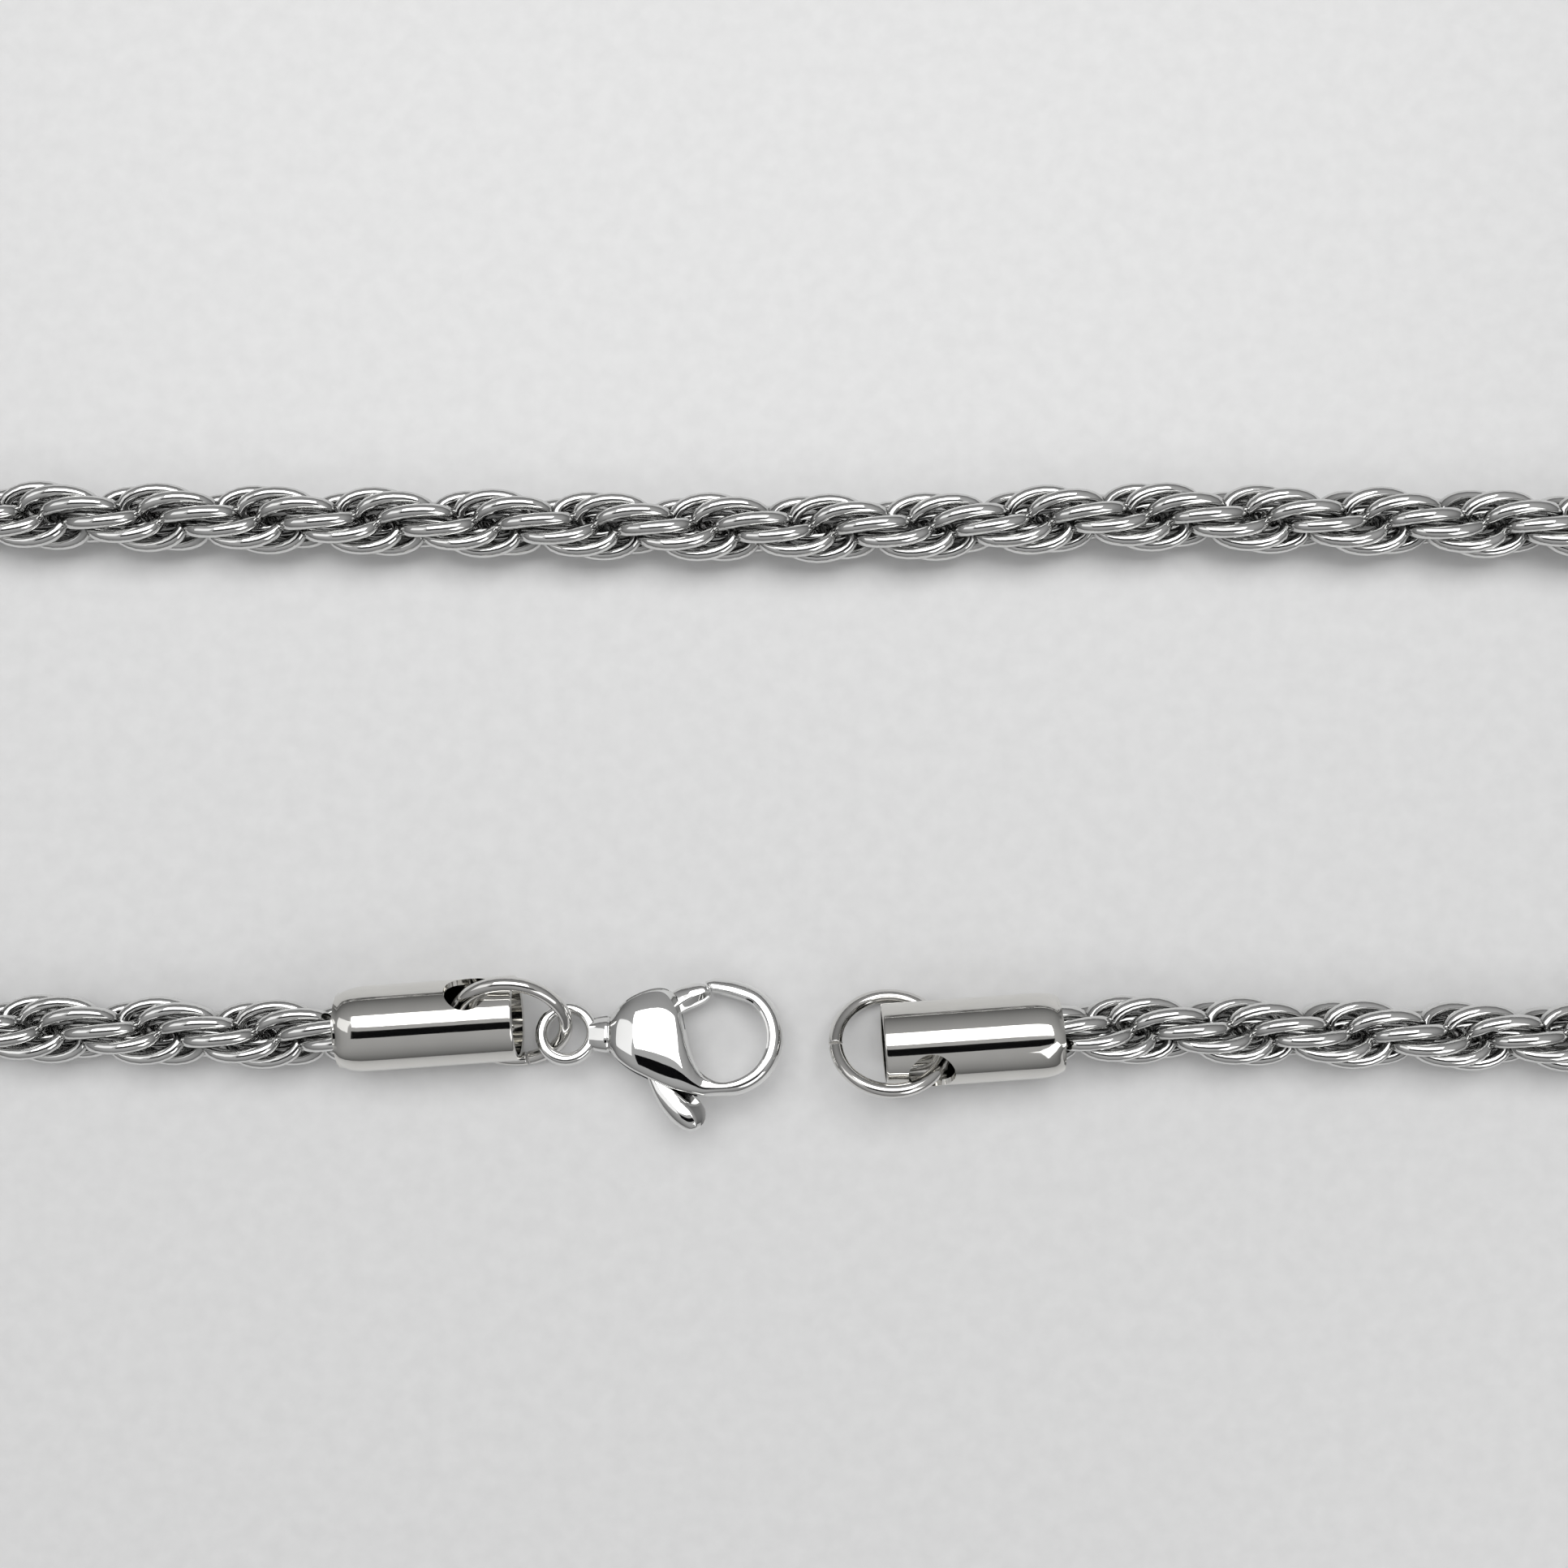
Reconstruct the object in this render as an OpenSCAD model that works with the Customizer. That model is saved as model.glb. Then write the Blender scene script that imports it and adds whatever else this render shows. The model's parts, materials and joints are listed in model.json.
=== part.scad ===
// Chain necklace: a twisted rope chain with a tube cap and a jump ring at each end and a
// lobster clasp on one of them, laid out on a table as a long loop, with the clasp open.
// The chain is split into short hinged sections. Each stands for the ring links of that stretch.
// Millimetres, +Z up, the table is Z = 0 and the origin is under the middle of the loop.

/* [Chain] */
// Outside diameter of the twisted chain
rope_d = 4; // [3.8:0.05:4]
// Length of one chain section, from hinge to hinge
section_len = 11.4; // [11:0.1:12]
// Clear space between the rounded ends of two neighbouring sections
section_gap = 0.4; // [0.35:0.05:0.8]
// Length of the last section of each end, most of which sits in the tube cap
end_len = 7; // [6.4:0.1:7.2]

/* [Tube caps] */
// Outside diameter of a tube cap
cap_d = 4.8; // [4.7:0.1:5]
// Length of a tube cap
cap_len = 10; // [9.8:0.1:10.4]
// Wall thickness of a tube cap
cap_wall = 0.33; // [0.25:0.01:0.34]
// Diameter of the cross hole that the jump ring passes through
cross_hole_d = 2.5; // [2.5:0.1:2.8]
// Distance from the cross hole to the open end of the cap
cross_hole_inset = 2.5; // [2.4:0.05:2.6]

/* [Jump rings] */
// Outside diameter of a jump ring
ring_od = 7; // [6.9:0.05:7.05]
// Wire thickness of a jump ring
ring_wire = 0.8; // [0.6:0.05:0.8]
// Angle of the cut where the ring is opened and closed
ring_split = 3; // [2:1:6]
// How far each ring leans from lying flat
ring_lean = 40; // [39:1:41]

/* [Clasp] */
// Middle radius of the eye that the jump ring passes through
eye_r = 1.4; // [1.38:0.01:1.44]
// Wire radius of the eye
eye_wire_r = 0.33; // [0.25:0.01:0.35]
// Middle radius of the hook
hook_r = 2.85; // [2.8:0.05:2.95]
// Width of the hook across its bend
hook_w = 0.8; // [0.7:0.05:0.9]
// Thickness of the hook, top to bottom
hook_t = 1.5; // [1.3:0.1:1.7]
// Thickness of the lever where it runs in the body
lever_t = 1; // [0.8:0.05:1.05]
// Width of the slot that the lever runs in
slot_t = 1.2; // [1.15:0.05:1.4]
// Diameter of the lever's pin
pin_d = 0.7; // [0.6:0.05:0.75]

/* [Hidden] */
$fn = 48;
steel = [0.80, 0.80, 0.79];
plated_steel = [0.74, 0.74, 0.71];

rope_r = rope_d / 2;
tip_r = rope_r - 0.05;
cap_r = cap_d / 2;
ring_r = (ring_od - ring_wire) / 2;

// The loop: both ends run from the middle section along the top, round a half circle in
// bend_count sections, and back along the bottom. Side 1 is the right end, side -1 the left.
bend_count = 4;
bend_step = 180 / bend_count;
bend_r = section_len / (bend_step * PI / 180);
bottom_count = 7;
right_top_count = 8;
left_top_count = 9;
// Where the middle of the root section and of the top run lies
root_middle = [5.96, 15.05];

function top_count(side) = side > 0 ? right_top_count : left_top_count;
function last(side) = top_count(side) + bend_count + bottom_count + 1;
function in_bend(side, k) = k > top_count(side) && k <= top_count(side) + bend_count;
function bend_turn(side, k) = in_bend(side, k) ? -side * bend_step : 0;

// Small turns, in degrees, that a chain laid down by hand has at some hinges
function laid_turn(side, k) =
    k == last(side) ? 5 :
    k == 1 ? (side > 0 ? 3 : -1) :
    k == 2 && side > 0 ? -4 :
    0;

function direction(angle) = [cos(angle), sin(angle)];

// Heading of section k at its first hinge
function heading(side, k) =
    laid_turn(side, k) + (k == 1 ? (side > 0 ? 0 : 180) : heading(side, k - 1) + bend_turn(side, k - 1));

// Step from the first hinge of section k to the next
function travel(side, k) =
    in_bend(side, k)
        ? 2 * bend_r * sin(bend_step / 2) * direction(heading(side, k) + bend_turn(side, k) / 2)
        : section_len * direction(heading(side, k));

// Place of the first hinge of section k
function hinge(side, k) =
    k == 1 ? root_middle + [side * section_len / 2, 0] : hinge(side, k - 1) + travel(side, k - 1);

// Where a point at the given distance along a tube cap's axis lies
function on_cap_axis(side, along) =
    concat(hinge(side, last(side)) + along * direction(heading(side, last(side))), [cap_r]);

cap_start = 2.5;
cap_lip = 1;
cap_bore_r = cap_r - cap_wall;
lip_r = rope_r + 0.05;
cross_hole_at = cap_start + cap_len - cross_hole_inset;
left_hole_lean = 55;
right_hole_lean = 44;

// Middles of the two jump rings and of the clasp's eye
left_ring_at = on_cap_axis(-1, cross_hole_at) + [2.13, -0.02, 0.1];
right_ring_at = on_cap_axis(1, cross_hole_at) + [-2.1, 0.03, 0.1];
eye_at = left_ring_at + [3.1, -0.75, -0.6];
// The clasp lies rolled over about its length, its thumb tab a little up from the table
clasp_roll = -15;
left_ring_split_at = -75;
right_ring_split_at = 185;

// Clasp layout, from the middle of the eye
hook_at = [9, -0.3];
pivot_at = [5.1, 0.9];
tab_at = [7.3, -4.5];
split_at = [8.05, 2.62];
split_angle = -54;
split_gap = 0.06;
running_gap = 0.05;
tab_r = 0.65;
// The body's hollow front stands back a little from the inside of the hook
front_r = hook_r - hook_w / 2 + 0.05;
pin_len = 2.4;

function side_name(side) = side > 0 ? "right" : "left";
function two_digits(k) = k < 10 ? str("0", k) : str(k);
function section_name(side, k) = str("chain_", side_name(side), "_", two_digits(k));

// A straight stretch of chain along +X, rounded at both ends
module straight_rope(length) {
    first = section_gap / 2 + tip_r;
    translate([first, 0, 0]) rotate([0, 90, 0]) cylinder(h = length - 2 * first, r = rope_r);
    for (x = [first, length - first])
        translate([x, 0, 0]) sphere(r = tip_r);
}

// A stretch of chain that sets off along +X and turns left by bend_step
module bent_rope() {
    trim = (section_gap / 2 + tip_r) / bend_r * 180 / PI;
    translate([0, bend_r, 0]) {
        rotate([0, 0, trim - 90])
            rotate_extrude(angle = bend_step - 2 * trim, start = 0) translate([bend_r, 0]) circle(r = rope_r);
        for (a = [trim, bend_step - trim])
            rotate([0, 0, a - 90]) translate([bend_r, 0, 0]) sphere(r = tip_r);
    }
}

// The last stretch of chain, whose flat end sits in the tube cap
module end_rope() {
    first = section_gap / 2 + tip_r;
    translate([first, 0, 0]) rotate([0, 90, 0]) cylinder(h = end_len - first, r = rope_r);
    translate([first, 0, 0]) sphere(r = tip_r);
}

module chain_middle() {
    color(steel)
    translate(concat(root_middle - [section_len / 2, 0], [rope_r]))
        straight_rope(section_len);
}

module chain_section(side, k) {
    height = k == last(side) ? cap_r : rope_r;
    color(steel)
    translate(concat(hinge(side, k), [height])) rotate([0, 0, heading(side, k)]) {
        if (k == last(side)) end_rope();
        else if (in_bend(side, k)) mirror([0, (side + 1) / 2, 0]) bent_rope();
        else straight_rope(section_len);
    }
}

// Tube with a turned-in lip round the chain, an open far end and a cross hole for the ring
module end_cap(side, hole_lean) {
    color(plated_steel)
    translate(on_cap_axis(side, cap_start)) rotate([0, 0, heading(side, last(side))])
    difference() {
        rotate([0, 90, 0]) rotate_extrude(start = 0) polygon([
            [lip_r, 0],
            [cap_bore_r, cap_lip],
            [cap_bore_r, cap_len],
            [cap_r, cap_len],
            [cap_r, cap_lip],
            [cap_r - 0.08, cap_lip * 0.5],
            [cap_r - 0.24, 0]
        ]);
        translate([cap_len - cross_hole_inset, 0, 0]) rotate([-hole_lean, 0, 0])
            cylinder(h = 2 * cap_d, d = cross_hole_d, center = true);
    }
}

// Round wire ring with a fine cut, leaning about X
module jump_ring(middle, lean, split_at_angle) {
    color(plated_steel)
    translate(middle) rotate([lean, 0, 0])
        rotate([0, 0, split_at_angle + ring_split / 2])
            rotate_extrude(angle = 360 - ring_split, start = 0) translate([ring_r, 0]) circle(d = ring_wire);
}

// Outline of the hook's cross-section: a bar with its four edges taken off
module hook_section() {
    edge = 0.22;
    half_w = hook_w / 2;
    half_t = hook_t / 2;
    translate([hook_r, 0]) polygon([
        [-half_w, -half_t + edge], [-half_w + edge, -half_t],
        [half_w - edge, -half_t], [half_w, -half_t + edge],
        [half_w, half_t - edge], [half_w - edge, half_t],
        [-half_w + edge, half_t], [-half_w, half_t - edge]
    ]);
}

// Everything on one side of the slanted cut between the hook's tip and the lever's nose
module beyond_split(side) {
    translate(split_at) rotate([0, 0, split_angle + 90])
        translate([side > 0 ? -split_gap / 2 : split_gap / 2 - 4, -2, -2]) cube([4, 4, 4]);
}

// The room that the lever and its spring need inside the body
module lever_slot() {
    translate([0, 0, -slot_t / 2]) linear_extrude(height = slot_t) {
        translate(pivot_at) circle(r = 1);
        polygon([
            pivot_at + [-1, 0], pivot_at + [0, 1], [6.6, 3], [8, 2.4], [7.4, 0.4], [6, 0.1],
            [5.95, -0.4], [6.2, -1.6], [7, -2.7], [8, -4.4], [5, -5.4], [2.6, -3.4], [3.5, -0.6]
        ]);
    }
}

// The clasp's own frame: the middle of its eye, +X towards the hook
module clasp_frame() {
    translate(eye_at) rotate([clasp_roll, 0, 0]) children();
}

module clasp_body() {
    color(steel)
    clasp_frame() {
        rotate_extrude(start = 0) translate([eye_r, 0]) circle(r = eye_wire_r);
        translate([eye_r + 0.15, 0, 0]) rotate([0, 90, 0]) cylinder(h = 1.6, r = 0.72);
        difference() {
            hull() {
                translate([2.9, 0.05, 0]) sphere(r = 0.8, $fn = 32);
                translate([5.2, 0.95, 0]) sphere(r = 1.62, $fn = 32);
                translate([5.7, -0.9, 0]) sphere(r = 1.6, $fn = 32);
                translate([7.6, -2.35, 0]) sphere(r = 0.95, $fn = 32);
            }
            translate(concat(hook_at, [-3])) cylinder(h = 6, r = front_r);
            lever_slot();
            translate(concat(pivot_at, [0])) cylinder(h = pin_len, d = pin_d, center = true);
        }
        difference() {
            translate(concat(hook_at, [0])) rotate([0, 0, -118])
                rotate_extrude(angle = 243, start = 0) hook_section();
            beyond_split(-1);
            lever_slot();
        }
    }
}

// The lever: a nose that closes the hook, a web on the pin and a thumb tab
module clasp_lever() {
    color(steel)
    clasp_frame() difference() {
        union() {
            translate([0, 0, -lever_t / 2]) linear_extrude(height = lever_t) difference() {
                union() {
                    translate(pivot_at) circle(r = 0.85);
                    polygon([
                        pivot_at + [-0.1, 0.84], [6.4, 2.6], [7.6, 2.95], [8.6, 2.9], [8.6, 2.1],
                        [7.4, 1.75], [6.45, 1.3], [5.75, 0.4], [5.6, -0.6], [5.8, -1.7],
                        [6.4, -2.75], [7.75, -4.1], [6.85, -4.95], [5.4, -3.4], [4.75, -2.2],
                        [4.45, -0.9], [4.27, 0.9]
                    ]);
                    translate(tab_at) circle(r = tab_r);
                }
                translate(pivot_at) circle(d = pin_d + 2 * running_gap);
            }
            translate(concat(tab_at, [0])) sphere(r = tab_r);
        }
        beyond_split(1);
    }
}

module lever_pin() {
    color(steel)
    clasp_frame() translate(concat(pivot_at, [0])) cylinder(h = pin_len, d = pin_d, center = true);
}

// Bent leaf spring between the slot's back wall and the lever
module lever_spring() {
    leaf = 0.12;
    leaf_w = 0.8;
    bow_r = 1.1;
    color(steel)
    clasp_frame() translate([3.15, -1.15, 0]) rotate([0, 0, -20])
        rotate_extrude(angle = 75, start = 0) translate([bow_r, -leaf_w / 2]) square([leaf, leaf_w]);
}

chain_middle();
for (side = [1, -1], k = [1:last(side)])
    chain_section(side, k);
end_cap(1, right_hole_lean);  // end_cap_right
end_cap(-1, left_hole_lean);  // end_cap_left
jump_ring(right_ring_at, -ring_lean, right_ring_split_at);  // end_ring
jump_ring(left_ring_at, ring_lean, left_ring_split_at);  // clasp_ring
clasp_body();
clasp_lever();
lever_pin();
lever_spring();
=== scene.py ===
# %% [markdown]
# # A rope chain necklace with a lobster clasp
# The necklace is all polished steel: hundreds of small wire links twisted into a rope, a tube
# cap and a jump ring at each end, and a cast clasp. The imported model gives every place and
# size. This script makes the pieces that are seen, in metres, round that model.

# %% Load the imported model
import json
import math

import bmesh
import bpy
from mathutils import Matrix, Vector

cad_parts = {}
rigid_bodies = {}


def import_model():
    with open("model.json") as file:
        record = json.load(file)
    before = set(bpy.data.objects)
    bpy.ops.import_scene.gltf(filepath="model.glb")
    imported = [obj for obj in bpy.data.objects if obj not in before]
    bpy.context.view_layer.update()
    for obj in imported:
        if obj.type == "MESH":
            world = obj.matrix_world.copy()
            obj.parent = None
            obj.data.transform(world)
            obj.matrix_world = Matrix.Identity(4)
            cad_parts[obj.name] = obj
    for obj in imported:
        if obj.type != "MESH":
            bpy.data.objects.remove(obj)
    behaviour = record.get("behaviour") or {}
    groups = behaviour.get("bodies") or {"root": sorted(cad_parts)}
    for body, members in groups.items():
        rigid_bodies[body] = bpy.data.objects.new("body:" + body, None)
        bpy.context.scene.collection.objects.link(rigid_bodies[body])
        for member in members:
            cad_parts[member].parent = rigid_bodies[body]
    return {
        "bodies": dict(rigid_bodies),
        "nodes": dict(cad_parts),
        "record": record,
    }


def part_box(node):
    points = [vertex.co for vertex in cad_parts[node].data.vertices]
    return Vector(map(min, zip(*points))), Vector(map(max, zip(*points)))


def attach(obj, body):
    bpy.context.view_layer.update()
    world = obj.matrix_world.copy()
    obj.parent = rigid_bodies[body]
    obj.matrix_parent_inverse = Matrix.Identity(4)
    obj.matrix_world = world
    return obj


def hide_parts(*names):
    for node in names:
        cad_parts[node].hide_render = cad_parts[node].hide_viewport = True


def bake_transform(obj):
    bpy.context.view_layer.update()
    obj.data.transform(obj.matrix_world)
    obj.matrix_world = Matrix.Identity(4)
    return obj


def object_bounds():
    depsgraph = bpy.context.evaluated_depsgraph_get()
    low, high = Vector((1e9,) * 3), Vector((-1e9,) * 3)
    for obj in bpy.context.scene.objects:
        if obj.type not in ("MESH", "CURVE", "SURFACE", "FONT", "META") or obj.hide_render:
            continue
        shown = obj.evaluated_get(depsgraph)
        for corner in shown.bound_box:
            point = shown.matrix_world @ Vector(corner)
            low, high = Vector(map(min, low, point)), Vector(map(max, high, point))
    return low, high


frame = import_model()
model_box = [list(corner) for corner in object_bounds()]
joints = {joint["name"]: joint for joint in frame["record"]["behaviour"]["joints"]}
mounts = {mount["name"]: mount for mount in frame["record"]["mounts"]}
MM = 0.001
print("bodies:", len(frame["bodies"]), "nodes:", len(frame["nodes"]), "box:", model_box)

# %% [markdown]
# ## Writing shader nodes as sums
# A finish is a small network of nodes. Adding each Math node by hand hides the sum that it
# does, so one class wraps a socket and turns Python's operators into Math nodes. Every other
# node comes from one method, which takes its type, its settings and its sockets' values.


# %% A socket that can be added and multiplied, and a finish that holds the nodes
class Socket:
    def __init__(self, finish, socket):
        self.finish = finish
        self.socket = socket

    def maths(self, operation, first, second):
        node = self.finish.node("ShaderNodeMath", {"operation": operation}, {0: first, 1: second})
        return node["Value"]

    def __add__(self, other):
        return self.maths("ADD", self, other)

    def __mul__(self, other):
        return self.maths("MULTIPLY", self, other)

    def __rsub__(self, other):
        return self.maths("SUBTRACT", other, self)


class Made:
    """A node that has been added. Its outputs are read by name."""

    def __init__(self, finish, node):
        self.finish = finish
        self.node = node

    def __getitem__(self, name):
        return Socket(self.finish, self.node.outputs[name])


class Finish:
    def __init__(self, tree):
        self.tree = tree

    def node(self, kind, settings, values):
        node = self.tree.nodes.new(kind)
        for name, value in settings.items():
            if name == "stops":
                set_stops(node.color_ramp, value)
            else:
                setattr(node, name, value)
        for name, value in values.items():
            if isinstance(value, Socket):
                self.tree.links.new(value.socket, node.inputs[name])
            else:
                node.inputs[name].default_value = value
        return Made(self, node)


def set_stops(ramp, stops):
    while len(ramp.elements) < len(stops):
        ramp.elements.new(0.5)
    for element, (place, grey) in zip(ramp.elements, stops):
        element.position = place
        element.color = (grey, grey, grey, 1)


# %% [markdown]
# ## Polished steel
# All of it is one metal with different handling. The links' wire has a fine even grain, the
# tube caps have long thin lines, and the tumbled casting is smooth with a faint waviness.
# The chain's colour is painted darker inside, as shade between the links, and the clasp's slot
# is painted dark, as shade in its recess. Each finish mixes the same few noises in its own
# amounts, all read from Object coordinates.


# %% One recipe for steel, with its amounts as settings
CLOUD_SCALE = 420.0
CLOUD_SHADE = 0.16
WAVE_SCALE = 900.0
LINE_HEIGHT = 0.35
BUMP_STRENGTH = 0.25
BUMP_DEPTH = 0.012 * MM


def noise(finish, vector, scale, detail):
    """A noise's value, from 0 to 1."""
    values = {"Vector": vector, "Scale": scale, "Detail": detail}
    return finish.node("ShaderNodeTexNoise", {}, values)["Fac"]


def polished_steel(name, colour, shine, haze, grain, waviness, shade=None):
    material = bpy.data.materials.new(name)
    material.use_nodes = True
    tree = material.node_tree
    tree.nodes.clear()
    finish = Finish(tree)
    place = finish.node("ShaderNodeTexCoord", {}, {})["Object"]
    stretched = finish.node("ShaderNodeMapping", {}, {"Vector": place, "Scale": grain})["Vector"]
    lines = noise(finish, stretched, 1.0, 3.0)
    clouds = noise(finish, place, CLOUD_SCALE, 2.0)
    waves = noise(finish, place, WAVE_SCALE, 1.0)
    dull = 1 - (clouds * CLOUD_SHADE)
    if shade:
        # Painted shade: the colour darkens towards the rope's core, where the links shade each other.
        depth = finish.node("ShaderNodeAttribute", {"attribute_name": shade}, {})["Fac"]
        core_shade = finish.node(
            "ShaderNodeValToRGB", {"stops": [(0.0, 0.16), (0.45, 0.45), (0.8, 1.0)]}, {"Fac": depth}
        )["Color"]
        shaded_colour = finish.node(
            "ShaderNodeMix",
            {"data_type": "RGBA", "blend_type": "MULTIPLY"},
            {0: 1.0, 6: (*colour, 1), 7: core_shade},
        )
        base = Socket(finish, shaded_colour.node.outputs[2])
    else:
        base = (*colour, 1)
    toned = finish.node(
        "ShaderNodeMix", {"data_type": "RGBA", "blend_type": "MULTIPLY"}, {0: 1.0, 6: base, 7: dull}
    )
    rough = (lines * haze) + shine
    height = (lines * LINE_HEIGHT) + (waves * waviness)
    bump = finish.node(
        "ShaderNodeBump", {}, {"Strength": BUMP_STRENGTH, "Distance": BUMP_DEPTH, "Height": height}
    )
    shader = finish.node(
        "ShaderNodeBsdfPrincipled",
        {},
        {
            "Base Color": Socket(finish, toned.node.outputs[2]),
            "Metallic": 1.0,
            "Roughness": rough,
            "Normal": bump["Normal"],
        },
    )
    finish.node("ShaderNodeOutputMaterial", {}, {"Surface": shader["BSDF"]})
    return material


# The links' finish reads the depth attribute and paints shade between the links.
link_steel = polished_steel("link_steel", (0.83, 0.83, 0.82), 0.03, 0.08, (900, 900, 900), 0.8, "depth")
cap_steel = polished_steel("cap_steel", (0.78, 0.77, 0.74), 0.035, 0.06, (120, 2600, 2600), 0.6)
ring_steel = polished_steel("ring_steel", (0.80, 0.79, 0.77), 0.05, 0.09, (700, 700, 1800), 0.9)
clasp_steel = polished_steel("clasp_steel", (0.84, 0.84, 0.83), 0.02, 0.04, (500, 500, 500), 1.4)
# Painted shade: a near black steel for the inside of the clasp's slot.
slot_steel = polished_steel("slot_steel", (0.07, 0.07, 0.075), 0.30, 0.25, (1500, 1500, 1500), 0.6)
pin_steel = polished_steel("pin_steel", (0.62, 0.62, 0.60), 0.18, 0.25, (3000, 3000, 300), 0.4)
spring_steel = polished_steel("spring_steel", (0.46, 0.47, 0.49), 0.22, 0.20, (2200, 300, 2200), 0.4)
print("finishes:", [m.name for m in bpy.data.materials if m.name.endswith("_steel")])

# %% [markdown]
# ## The line that the chain follows
# The model holds a hinge between every two stretches of chain. A smooth curve through all
# of them is the middle of the rope. At each hinge the curve runs along the mean of the
# directions to its two neighbours, and its handles are a third of the way to each, which
# for these gentle turns is as good as an arc.

# %% Gather the hinges from one end cap to the other
hinges = {"left": [], "right": []}
for name, joint in joints.items():
    if name.startswith("rope_"):
        hinges[name.split("_")[1]].append((name, joint))
for side in hinges:
    hinges[side].sort()

REST_HEIGHT = hinges["left"][0][1]["pos_m"][2]
CAP_HEIGHT = sum(corner.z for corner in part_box("end_cap_left")) / 2
IN_CAP = 4.9 * MM
CAP_TURN = math.radians(5)


def last_direction(side):
    """Heading of the stretch that sits in a tube cap, from the two hinges before it."""
    before, at = [Vector(joint["pos_m"]) for _, joint in hinges[side][-2:]]
    step = (at - before).to_2d().normalized()
    turned = Matrix.Rotation(CAP_TURN, 2) @ step
    return Vector((*turned, 0))


def arm(side):
    places = [Vector(joint["pos_m"]) for _, joint in hinges[side]]
    end = places[-1] + last_direction(side) * IN_CAP
    places[-1].z = (REST_HEIGHT + CAP_HEIGHT) / 2
    end.z = CAP_HEIGHT
    return places + [end]


stations = arm("left")[::-1] + arm("right")
print("chain line:", len(stations), "points")


# %% Make the curve
def smooth_curve(name, places):
    data = bpy.data.curves.new(name, "CURVE")
    data.dimensions = "3D"
    data.resolution_u = 24
    spline = data.splines.new("BEZIER")
    spline.bezier_points.add(len(places) - 1)
    for i, point in enumerate(spline.bezier_points):
        before = places[max(i - 1, 0)]
        after = places[min(i + 1, len(places) - 1)]
        here = places[i]
        if i in (0, len(places) - 1):
            along = (after - before).normalized()
        else:
            along = ((here - before).normalized() + (after - here).normalized()).normalized()
        # Where the rope lies flat, the curve is level.
        if here.z == REST_HEIGHT:
            along = Vector((along.x, along.y, 0)).normalized()
        point.handle_left_type = point.handle_right_type = "FREE"
        point.co = here
        point.handle_left = here - along * (here - before).length / 3
        point.handle_right = here + along * (after - here).length / 3
    made = bpy.data.objects.new(name, data)
    bpy.context.collection.objects.link(made)
    return made


chain_line = smooth_curve("chain_line", stations)
line_length = chain_line.data.splines[0].calc_length()
print("chain line:", round(line_length, 4), "m long")

# %% [markdown]
# ## One link, and the rule that lays them
# A rope chain is made of oval wire links. Each is threaded through the ones before it and
# lies on the other side of the rope, turned a little further round, so the links fall into
# two strands that wind round each other. Geometry Nodes suit this: the tree bends one
# light link from a curve, walks along the line with a fixed step, and turns each copy by
# half a turn plus the lay. The link is a cage of 12 by 6 faces, and a subdivision rounds it.
# That pulls a cage in by a known share, so the cage is made larger by the same.

# %% The link's sizes
ROPE_RADIUS = 1.98 * MM
WIRE = 0.78 * MM
HALF_LENGTH = 2.0 * MM
HALF_WIDTH = 1.08 * MM
STEP = 0.61 * MM
LAY = math.radians(17.5)
TILT = math.radians(-6)
LOOSE = 0.05
AROUND = 12
SIDES = 6


def shrink(count):
    """How far subdivision pulls in a ring of this many points."""
    return (2 + math.cos(2 * math.pi / count)) / 3


link_offset = ROPE_RADIUS - WIRE / 2 - HALF_WIDTH
print("link:", 2 * HALF_LENGTH + WIRE, "long, offset", link_offset)


# %% A small helper for Geometry Nodes trees
class Tree:
    def __init__(self, name):
        self.tree = bpy.data.node_groups.new(name, "GeometryNodeTree")
        self.sockets = {}
        self.input("Geometry", "NodeSocketGeometry")
        self.tree.interface.new_socket("Geometry", in_out="OUTPUT", socket_type="NodeSocketGeometry")
        self.start = self.tree.nodes.new("NodeGroupInput")
        self.end = self.tree.nodes.new("NodeGroupOutput")

    def input(self, name, kind):
        made = self.tree.interface.new_socket(name, in_out="INPUT", socket_type=kind)
        self.sockets[name] = made.identifier

    def given(self, name):
        return self.start.outputs[name]

    def add(self, kind, settings, values):
        node = self.tree.nodes.new(kind)
        for name, value in settings.items():
            setattr(node, name, value)
        for name, value in values.items():
            if isinstance(value, bpy.types.NodeSocket):
                self.tree.links.new(value, node.inputs[name])
            else:
                node.inputs[name].default_value = value
        return node.outputs

    def finish(self, geometry):
        self.tree.links.new(geometry, self.end.inputs[0])

    def run(self, source, name, values):
        """Runs the tree on source and returns the result as a new plain mesh object."""
        modifier = source.modifiers.new("build", "NODES")
        modifier.node_group = self.tree
        for key, value in values.items():
            modifier[self.sockets[key]] = value
        source.update_tag()
        bpy.context.view_layer.update()
        evaluated = source.evaluated_get(bpy.context.evaluated_depsgraph_get())
        mesh = bpy.data.meshes.new_from_object(evaluated)
        source.modifiers.remove(modifier)
        mesh.name = name
        made = bpy.data.objects.new(name, mesh)
        bpy.context.collection.objects.link(made)
        return made


# %% The tree that lays the links
rope = Tree("rope_links")
for name in ("Step", "Turn", "Offset", "Tilt", "Half Length", "Half Width", "Wire Radius", "Reach"):
    rope.input(name, "NodeSocketFloat")
for name in ("First", "Last", "Around", "Sides", "Seed"):
    rope.input(name, "NodeSocketInt")
rope.input("Material", "NodeSocketMaterial")

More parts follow.
